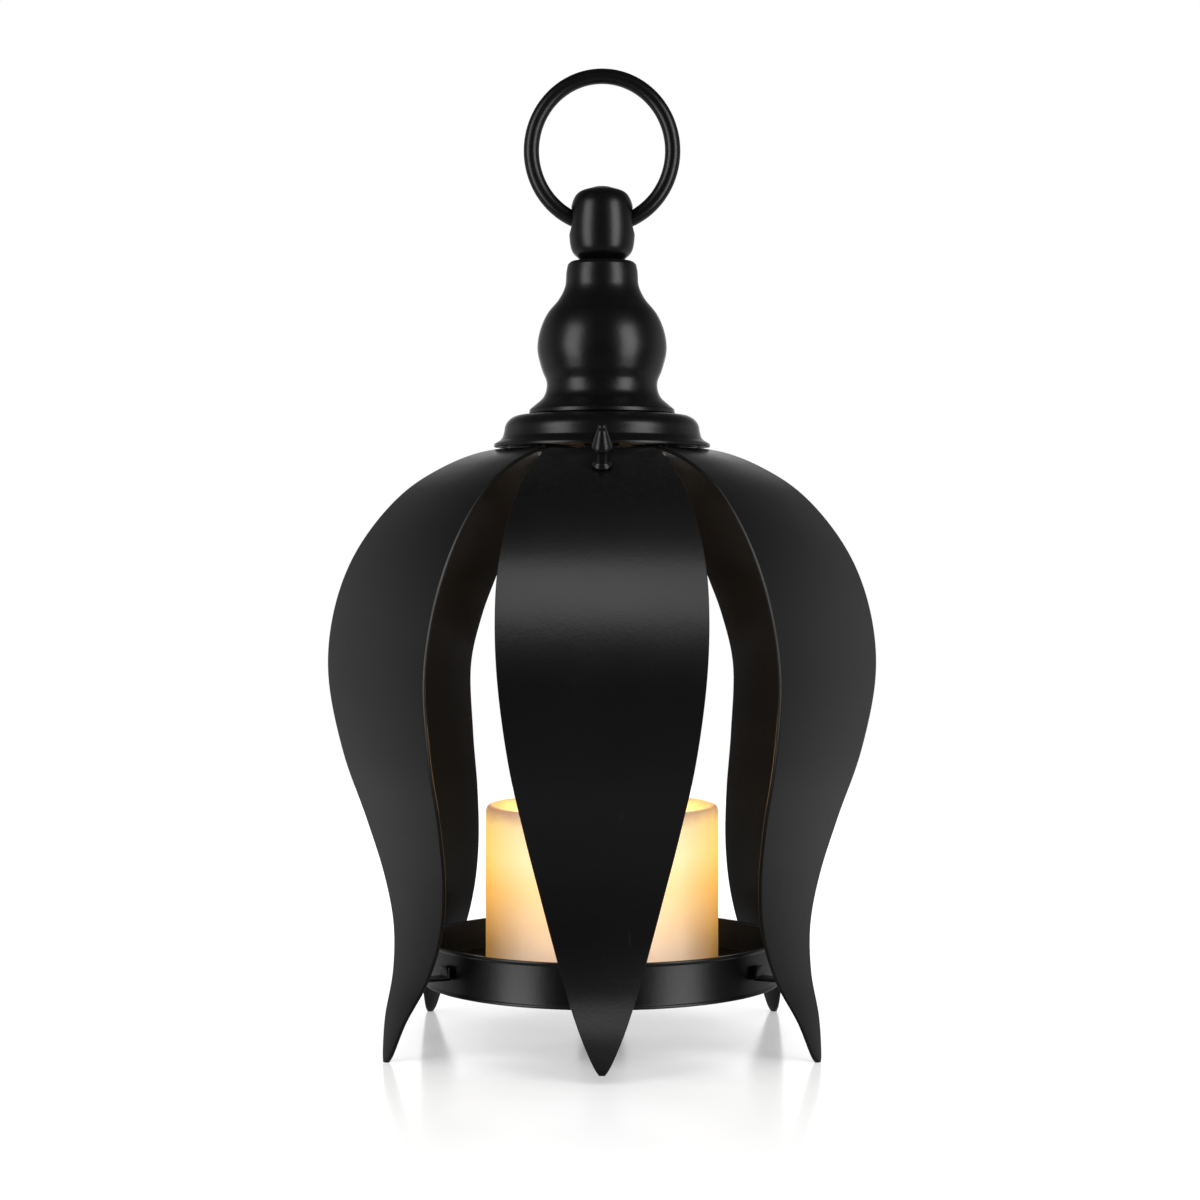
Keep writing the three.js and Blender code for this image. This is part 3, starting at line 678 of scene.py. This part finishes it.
def makeCap():
    low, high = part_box("cap")
    cap = {
        "lip": high.x,
        "band": high.x - 2.3 * mm,
        "bend": (high.z - low.z) * 0.48,
        "bandStart": (high.z - low.z) * 0.17,
        "draft": 0.4 * mm,
        "lipFlare": 0.7 * mm,
        "lipDrop": 0.9 * mm,
        "lipRise": 0.8 * mm,
        "hole": 2.8 * mm,
        "wall": sheet,
        "ease": 0.25 * mm,
        "steps": 10,
    }
    inside = cap["band"] - cap["wall"]
    flat = inside - cap["bend"]
    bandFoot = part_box("crown_plate")[1].z + cap["bandStart"]

    def shoulder(across, rise):
        bends = []
        for step in range(cap["steps"] + 1):
            angle = math.pi / 2 * (1 - step / cap["steps"])
            bends.append((flat + across * math.cos(angle), high.z - cap["bend"] + rise * math.sin(angle)))
        return bends

    across = cap["band"] - flat - cap["draft"]
    outer = shoulder(across, cap["bend"])
    under = shoulder(across - cap["wall"], cap["bend"] - cap["wall"])
    outline = [(cap["hole"], high.z)] + outer
    outline += [
        (cap["band"], bandFoot),
        (cap["band"] + cap["lipFlare"], bandFoot - cap["lipDrop"]),
        (cap["lip"], low.z + cap["lipRise"]),
        (cap["lip"], low.z),
        (cap["lip"] - cap["wall"], low.z),
        (cap["band"] - clearance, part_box("crown_plate")[1].z + clearance),
        (inside, bandFoot),
    ]
    outline += under[::-1] + [(cap["hole"], high.z - cap["wall"])]
    piece = turnedPiece("capPressed", rounded(outline, cap["ease"], 3, loop=True), 128, loop=True)
    hand(piece, blackCoat, ("cap",))


def makePost():
    low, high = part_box("baluster")
    post = {"hole": 2.8 * mm, "footShare": 1.13, "ease": 0.3 * mm}
    belly = high.x / post["footShare"]

    def at(radius, share):
        return (belly * radius, low.z + (high.z - low.z) * share)

    shaft = throughPoints([
        at(1.06, 0.05),
        at(0.9, 0.115),
        at(0.855, 0.2),
        at(0.93, 0.29),
        at(1.0, 0.42),
        at(0.965, 0.54),
        at(0.85, 0.655),
        at(0.66, 0.757),
        at(0.57, 0.84),
        at(0.552, 0.93),
        at(0.53, 0.98),
    ], 7)
    foot = rounded([
        (post["hole"], low.z),
        at(post["footShare"], 0.0),
        at(1.12, 0.03),
        at(1.06, 0.05),
    ], post["ease"])
    neck = rounded([at(0.53, 0.98), at(0.48, 1.0), (post["hole"], high.z)], post["ease"])
    outline = [Vector(point) for point in foot[:-1]] + shaft + neck[1:]
    piece = turnedPiece("postTurned", outline, 96, loop=True)
    hand(piece, blackCoat, ("baluster",))


def makeHead():
    low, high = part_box("ring_head")
    radius = high.y
    head = {
        "bore": 3.6 * mm,
        "boreHeight": 210.59 * mm,
        "cutterReach": 20.0 * mm,
        "ease": 0.3 * mm,
    }

    def at(share, rise):
        return (radius * share, low.z + (high.z - low.z) * rise)

    egg = throughPoints([
        at(0.66, 0.0),
        at(0.91, 0.12),
        at(1.0, 0.34),
        at(0.97, 0.64),
        at(0.875, 0.82),
        at(0.71, 0.92),
        at(0.24, 0.995),
    ], 7)
    outline = [Vector((0.0, low.z))] + egg + [Vector(at(0.0, 1.0))]
    body = turnedPiece("headBody", outline, 96)
    bore = head["bore"]
    reach = head["cutterReach"]
    cutter = turnedPiece("headCutter", [(0, -reach), (bore, -reach), (bore, reach), (0, reach)], 64)
    sideways = Matrix.Rotation(math.pi / 2, 4, "Y")
    cutter.data.transform(Matrix.Translation((0, 0, head["boreHeight"])) @ sideways)
    boring = body.modifiers.new("bore", "BOOLEAN")
    boring.operation = "DIFFERENCE"
    boring.object = cutter
    boring.solver = "EXACT"
    easing = body.modifiers.new("ease", "BEVEL")
    easing.limit_method = "ANGLE"
    easing.angle_limit = math.radians(35)
    easing.width = head["ease"]
    easing.segments = 2
    piece = plainCopy(body, "headTurned")
    bpy.data.objects.remove(cutter)
    tidyMesh(piece.data, 40.0)
    hand(piece, blackCoat, ("ring_head",))


def makeRing():
    low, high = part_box("hanging_ring")
    wire = 2.0 * mm
    ring = {
        "turns": 128,
        "sides": 24,
        "wire": wire,
        "across": high.x - wire,
        "up": (high.z - low.z) / 2 - wire,
    }
    centre = (low.z + high.z) / 2
    verts = []
    faces = []
    for turn in range(ring["turns"]):
        angle = 2 * math.pi * turn / ring["turns"]
        for side in range(ring["sides"]):
            around = 2 * math.pi * side / ring["sides"]
            outward = ring["wire"] * math.cos(around)
            x = (ring["across"] + outward) * math.cos(angle)
            z = (ring["up"] + outward) * math.sin(angle)
            verts.append((x, ring["wire"] * math.sin(around), centre + z))
    for turn in range(ring["turns"]):
        here = turn * ring["sides"]
        ahead = ((turn + 1) % ring["turns"]) * ring["sides"]
        for side in range(ring["sides"]):
            following = (side + 1) % ring["sides"]
            faces.append((here + side, ahead + side, ahead + following, here + following))
    hand(meshObject("ringWire", verts, faces, 60.0), blackCoat, ("hanging_ring",))


makeCap()
makePost()
makeHead()
makeRing()
print("cap, post, head and ring made")


def makeRivets():
    low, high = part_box("rivet_back")
    rivet = {
        "circle": (low.y + high.y) / 2,
        "head": high.x,
        "shank": high.x / 2,
        "rise": high.x * 0.35,
        "steps": 6,
    }
    bottom = low.z
    top = high.z

    def dome(base, way):
        arc = []
        for step in range(rivet["steps"] + 1):
            angle = math.pi / 2 * step / rivet["steps"]
            arc.append((rivet["head"] * math.cos(angle), base + way * rivet["rise"] * math.sin(angle)))
        return arc

    outline = dome(bottom + rivet["rise"], -1)[::-1]
    outline += [(rivet["shank"], bottom + rivet["rise"]), (rivet["shank"], top - rivet["rise"])]
    outline += dome(top - rivet["rise"], 1)
    pattern = turnedPiece("rivetPattern", outline, 20)
    pattern.data.transform(Matrix.Translation((0, -rivet["circle"], 0)))
    side = leafSizes["sideAzimuth"]
    rear = leafSizes["rearAzimuth"]
    rows = (
        ("rivetsFront", (-side, 0.0, side), ("rivet_left_front", "rivet_catch", "rivet_right_front")),
        ("rivetsRear", (rear, 180.0, 360 - rear), ("rivet_right_back", "rivet_back", "rivet_left_back")),
    )
    for name, azimuths, nodes in rows:
        hand(roundAxis(name, pattern, azimuths, zincSteel), zincSteel, nodes)
    bpy.data.objects.remove(pattern)


makeRivets()
print("rivets made")


def makeTray():
    low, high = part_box("tray")
    tray = {
        "wall": 0.8 * mm,
        "lip": 0.3 * mm,
        "floorTop": low.z + 3.5 * mm,
        "ease": 0.26 * mm,
        "beadRadius": 33.5 * mm,
        "beadHalf": 0.8 * mm,
        "beadRise": 0.25 * mm,
        "foldTurn": 0.2 * mm,
    }
    outer = high.x
    band = outer - tray["lip"]
    inner = band - tray["wall"]
    fold = tray["wall"] - tray["foldTurn"]
    floor = tray["floorTop"]
    bead = tray["beadRadius"]
    outline = [
        (0.0, floor - tray["wall"]),
        (inner, floor - tray["wall"]),
        (inner, low.z),
        (outer, low.z),
        (outer, low.z + fold),
        (band, low.z + fold + tray["lip"]),
        (band, high.z - fold - tray["lip"]),
        (outer, high.z - fold),
        (outer, high.z),
        (inner, high.z),
        (inner, floor),
        (bead + tray["beadHalf"], floor),
        (bead, floor + tray["beadRise"]),
        (bead - tray["beadHalf"], floor),
        (0.0, floor),
    ]
    piece = turnedPiece("trayDish", rounded(outline, tray["ease"], 4), 144)
    hand(piece, blackCoat, ("tray",))


makeTray()
print("tray made")


def makePull():
    pull = {
        "placeRadius": 39.5 * mm,
        "length": 11.6 * mm,
        "radius": 2.5 * mm,
        "stud": 1.2 * mm,
        "washerReach": 1.0 * mm,
        "washerThickness": 0.9 * mm,
        "ease": 0.28 * mm,
    }
    inside = -sheet / 2 - clearance
    outside = sheet / 2 + clearance
    washer = pull["stud"] + pull["washerReach"]
    back = inside - pull["washerThickness"]

    def at(radius, share):
        return (pull["radius"] * radius, outside + pull["length"] * share)

    outline = [
        (0.0, back),
        (washer, back),
        (washer, inside),
        (pull["stud"], inside),
        (pull["stud"], outside),
        at(1.0, 0.0),
        at(1.0, 0.06),
        at(0.74, 0.11),
        at(0.74, 0.38),
        at(1.02, 0.415),
        at(1.0, 0.49),
        at(0.5, 0.83),
        at(0.42, 0.86),
        at(0.42, 0.95),
        at(0.24, 0.99),
        at(0.0, 1.0),
    ]
    piece = turnedPiece("doorPull", rounded(outline, pull["ease"], 3), 48)
    line = doorLine()
    upper = [i for i, point in enumerate(line) if point[1] > leafSizes["top"] / 2]
    shoulder = [i for i in upper if line[i][0] < pull["placeRadius"]][0]
    along = line[shoulder + 1] - line[shoulder - 1]
    lean = Matrix.Rotation(math.atan2(along[1], -along[0]), 4, "X")
    middle = line[shoulder]
    piece.data.transform(Matrix.Translation((0, -middle[0], middle[1])) @ lean)
    hand(piece, blackCoat, ("pull_knob",))


makePull()
print("pull made")


def makeCandle():
    low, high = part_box("wax_shell")
    candle = {
        "radius": high.x,
        "foot": low.z,
        "rim": high.z,
        "wall": 4.1 * mm,
        "cavityTop": low.z + 25.6 * mm,
        "hollow": 13.0 * mm,
        "wobble": 0.1 * mm,
        "swellScale": 55.0,
        "liftScale": 70.0,
        "liftDepth": 8 * mm,
        "footEdge": 3 * mm,
        "rimEdge": 4 * mm,
        "ease": 0.5 * mm,
    }
    radius = candle["radius"] - candle["wobble"]
    rim = candle["rim"] - candle["wobble"]

    def at(inward, share):
        return (radius - inward * mm, rim - candle["hollow"] * share)

    crater = throughPoints([
        at(0.0, 0.11),
        at(0.45, 0.025),
        at(1.5, 0.0),
        at(2.9, 0.045),
        at(4.6, 0.19),
        at(6.6, 0.62),
        at(10.1, 0.86),
        at(18.0, 0.97),
        (0.0, rim - candle["hollow"]),
    ], 6)
    inner = radius - candle["wall"]
    foot = rounded([
        (0.0, candle["cavityTop"]),
        (inner, candle["cavityTop"]),
        (inner, candle["foot"]),
        (radius, candle["foot"]),
        (radius, candle["foot"] + candle["footEdge"]),
    ], candle["ease"])
    reach = rim - candle["foot"] - candle["rimEdge"]
    side = [Vector((radius, candle["foot"] + reach * step / 9)) for step in range(2, 10)]
    piece = turnedPiece("waxBody", foot + side + crater, 128)
    for vert in piece.data.vertices:
        place = vert.co
        around = Vector((place.x, place.y, 0.0))
        if around.length < inner + 0.2 * mm and place.z < candle["cavityTop"] + 0.2 * mm:
            continue
        swell = noise.noise(place * candle["swellScale"]) * candle["wobble"]
        lift = noise.noise(Vector((place.x, place.y, 3.0)) * candle["liftScale"]) * candle["wobble"]
        if place.z <= rim - candle["liftDepth"]:
            lift = 0.0
        vert.co = place + around.normalized() * swell + Vector((0, 0, lift))
    hand(piece, ivoryWax, ("wax_shell",))


makeCandle()
print("candle made")


def easedCopy(name, node, ease):
    # the frame's own mesh with its sharp edges eased
    source = frame["nodes"][node]
    piece = bpy.data.objects.new(name, source.data.copy())
    bpy.context.collection.objects.link(piece)
    work = bmesh.new()
    work.from_mesh(piece.data)
    bmesh.ops.remove_doubles(work, verts=work.verts, dist=1e-6)
    bmesh.ops.dissolve_limit(work, angle_limit=math.radians(0.5), verts=work.verts, edges=work.edges)
    work.to_mesh(piece.data)
    work.free()
    easing = piece.modifiers.new("ease", "BEVEL")
    easing.limit_method = "ANGLE"
    easing.angle_limit = math.radians(38)
    easing.width = ease
    easing.segments = 2
    result = plainCopy(piece, name)
    result.data.shade_smooth()
    result.data.set_sharp_from_angle(angle=math.radians(32))
    return result


def makeSmallParts():
    parts = (
        ("crownDisc", "crown_plate", 0.2 * mm, blackCoat, "black_paint"),
        ("catchSpring", "door_catch", 0.18 * mm, blackCoat, "black_paint"),
        ("hingeEars", "hinge_bracket", 0.16 * mm, blackCoat, "black_paint"),
        ("hingeLug", "door_knuckle", 0.16 * mm, blackCoat, "black_paint"),
        ("hingePinTurned", "hinge_pin", 0.15 * mm, zincSteel, "plain_steel"),
        ("strapRightFront", "bracket_right_front", 0.2 * mm, blackCoat, "black_paint"),
        ("strapRightBack", "bracket_right_back", 0.2 * mm, blackCoat, "black_paint"),
        ("strapBack", "bracket_back", 0.2 * mm, blackCoat, "black_paint"),
        ("strapLeftBack", "bracket_left_back", 0.2 * mm, blackCoat, "black_paint"),
        ("strapLeftFront", "bracket_left_front", 0.2 * mm, blackCoat, "black_paint"),
        ("tieRod", "threaded_rod", 0.3 * mm, zincSteel, "plain_steel"),
        ("washerDisc", "washer", 0.2 * mm, zincSteel, "plain_steel"),
        ("hexNut", "nut", 0.35 * mm, zincSteel, "plain_steel"),
        ("insertHousing", "battery_housing", 0.25 * mm, whitePlastic, "white_plastic"),
        ("insertCover", "battery_cover", 0.2 * mm, whitePlastic, "white_plastic"),
        ("cellLower", "battery_lower", 0.3 * mm, cellSteel, "plain_steel"),
        ("cellUpper", "battery_upper", 0.3 * mm, cellSteel, "plain_steel"),
        ("contactDisc", "battery_contact", 0.08 * mm, cellSteel, "plain_steel"),
        ("boardDisc", "circuit_board", 0.12 * mm, lacqueredBoard, "board"),
        ("lightDome", "led_bulb", 0.16 * mm, amberLens, "led"),
        ("switchKnob", "switch_slider", 0.3 * mm, darkPlastic, "dark_plastic"),
        ("switchBox", "switch_body", 0.2 * mm, darkPlastic, "dark_plastic"),
    )
    for name, node, ease, material, slot in parts:
        hand(easedCopy(name, node, ease), material, (node,))


makeSmallParts()
print("small parts made")


def makeFloor():
    floor = {
        "radius": 0.72,
        "sides": 64,
        "color": (0.9, 0.9, 0.895, 1.0),
        "greyer": (0.88, 0.88, 0.88, 1.0),
        "low": 0.14,
        "high": 0.2,
        "glow": 0.2,
    }
    material, tree, shader = newMaterial("paleFloor")
    vector = objectVector(tree)
    drift = spread(tree, noiseNode(tree, vector, 3.0, 2.0), 0.3, 0.7)
    tint = blendColor(tree, drift, floor["color"], floor["greyer"])
    tree.links.new(tint, shader.inputs["Base Color"])
    rough = spread(tree, noiseNode(tree, vector, 40.0, 3.0), 0.3, 0.7, floor["low"], floor["high"])
    tree.links.new(rough, shader.inputs["Roughness"])
    shader.inputs["Emission Color"].default_value = (1.0, 1.0, 1.0, 1.0)
    shader.inputs["Emission Strength"].default_value = floor["glow"]
    ring = [2 * math.pi * step / floor["sides"] for step in range(floor["sides"])]
    verts = [(floor["radius"] * math.cos(angle), floor["radius"] * math.sin(angle), 0.0) for angle in ring]
    mesh = bpy.data.meshes.new("paleFloor")
    mesh.from_pydata(verts, [], [tuple(range(floor["sides"]))])
    mesh.materials.append(material)
    piece = bpy.data.objects.new("paleFloor", mesh)
    bpy.context.collection.objects.link(piece)
    piece.visible_glossy = False  # keeps the white floor out of the black coat's reflections


def softBox(name, azimuth, power, box):
    # a flat soft light that faces the middle of the lantern
    data = bpy.data.lights.new(name, "AREA")
    data.shape = "RECTANGLE"
    data.size = box["width"]
    data.size_y = box["height"]
    data.energy = power
    lamp = bpy.data.objects.new(name, data)
    bpy.context.collection.objects.link(lamp)
    turn = math.radians(azimuth)
    rise = math.radians(box["elevation"])
    away = Vector((math.sin(turn) * math.cos(rise), -math.cos(turn) * math.cos(rise), math.sin(rise)))
    lamp.location = Vector((0.0, 0.0, box["aim"])) + away * box["distance"]
    lamp.rotation_mode = "QUATERNION"
    lamp.rotation_quaternion = away.to_track_quat("Z", "Y")
    return lamp


def makeLight():
    light = {
        "wash": 2.5,
        "washSoftness": 140.0,
        "left": 5.2,
        "leftAzimuth": -54.0,
        "rightShare": 1.15,
        "rightAzimuth": 50.0,
        "front": 3.4,
        "candle": 0.05,
        "candleColor": (1.0, 0.55, 0.18),
        "candleSize": 0.012,
    }
    sideBox = {"elevation": 8.0, "distance": 0.95, "width": 0.46, "height": 1.1, "aim": 0.125}
    frontBox = {"elevation": 36.0, "distance": 1.1, "width": 0.9, "height": 0.6, "aim": 0.125}
    wash = bpy.data.lights.new("overheadWash", "SUN")
    wash.energy = light["wash"]
    wash.angle = math.radians(light["washSoftness"])
    washLamp = bpy.data.objects.new("overheadWash", wash)
    bpy.context.collection.objects.link(washLamp)
    washLamp.visible_glossy = False  # lights the floor without a glare on the black coat
    softBox("boxLeft", light["leftAzimuth"], light["left"], sideBox)
    softBox("boxRight", light["rightAzimuth"], light["left"] * light["rightShare"], sideBox)
    front = softBox("boxFront", 0.0, light["front"], frontBox)
    broad = bpy.data.collections.new("broadSurfaces")  # the turned parts keep their dark middle
    for name in ("doorLeaf", "leavesSide", "leavesRear", "waxBody", "paleFloor"):
        for piece in bpy.data.objects:
            if piece.name.startswith(name):
                broad.objects.link(piece)
    front.light_linking.receiver_collection = broad
    glow = bpy.data.lights.new("candleGlow", "POINT")
    glow.energy = light["candle"]
    glow.color = light["candleColor"]
    glow.shadow_soft_size = light["candleSize"]
    glowLamp = bpy.data.objects.new("candleGlow", glow)
    glowLamp.location = (0.0, 0.0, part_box("wax_shell")[1].z + light["candleSize"])
    bpy.context.collection.objects.link(glowLamp)


def makeSurroundings():
    # white to the eye; for the light it is dark in front of the lantern and bright behind it
    around = {"front": 0.015, "back": 0.36, "above": 0.05, "horizon": 0.9, "below": 0.2}
    reach = {"above": (0.15, 0.6), "behind": (-0.2, 0.45), "horizon": (0.9, 0.97), "below": (-0.3, -0.8)}
    white = (1.0, 1.0, 1.0, 1.0)
    world = bpy.data.worlds.new("studio")
    bpy.context.scene.world = world
    world.use_nodes = True
    tree = world.node_tree
    tree.nodes.clear()
    direction = addNode(tree, "ShaderNodeTexCoord").outputs["Generated"]
    parts = addNode(tree, "ShaderNodeSeparateXYZ", None, {"Vector": direction}).outputs
    overhead = spread(tree, parts["Z"], *reach["above"], around["back"], around["above"])
    behind = spread(tree, parts["Y"], *reach["behind"])
    strength = mathNode(tree, "MAXIMUM", mathNode(tree, "MULTIPLY", behind, overhead), around["front"])
    horizon = spread(tree, parts["Y"], *reach["horizon"], 0.0, around["horizon"])
    below = spread(tree, parts["Z"], *reach["below"], 0.0, around["below"])
    strength = mathNode(tree, "ADD", mathNode(tree, "ADD", strength, horizon), below)
    lit = addNode(tree, "ShaderNodeBackground", None, {"Color": white, "Strength": strength})
    seen = addNode(tree, "ShaderNodeBackground", None, {"Color": white})
    eye = addNode(tree, "ShaderNodeLightPath").outputs["Is Camera Ray"]
    both = addNode(tree, "ShaderNodeMixShader", None, {0: eye, 1: lit.outputs[0], 2: seen.outputs[0]})
    out = addNode(tree, "ShaderNodeOutputWorld")
    tree.links.new(both.outputs[0], out.inputs["Surface"])


def makeCamera():
    view = {"distance": 0.675, "height": 0.1255, "lens": 78.36, "shiftX": -0.0017, "shiftY": -0.0414}
    data = bpy.data.cameras.new("frontView")
    data.sensor_width = 36.0
    data.lens = view["lens"]
    data.shift_x = view["shiftX"]
    data.shift_y = view["shiftY"]
    camera = bpy.data.objects.new("frontView", data)
    camera.location = (0.0, -view["distance"], view["height"])
    camera.rotation_euler = (math.radians(90), 0.0, 0.0)
    bpy.context.collection.objects.link(camera)
    bpy.context.scene.camera = camera


makeFloor()
makeLight()
makeSurroundings()
makeCamera()
bpy.context.scene.view_settings.view_transform = "Standard"
print("floor, light and camera made")
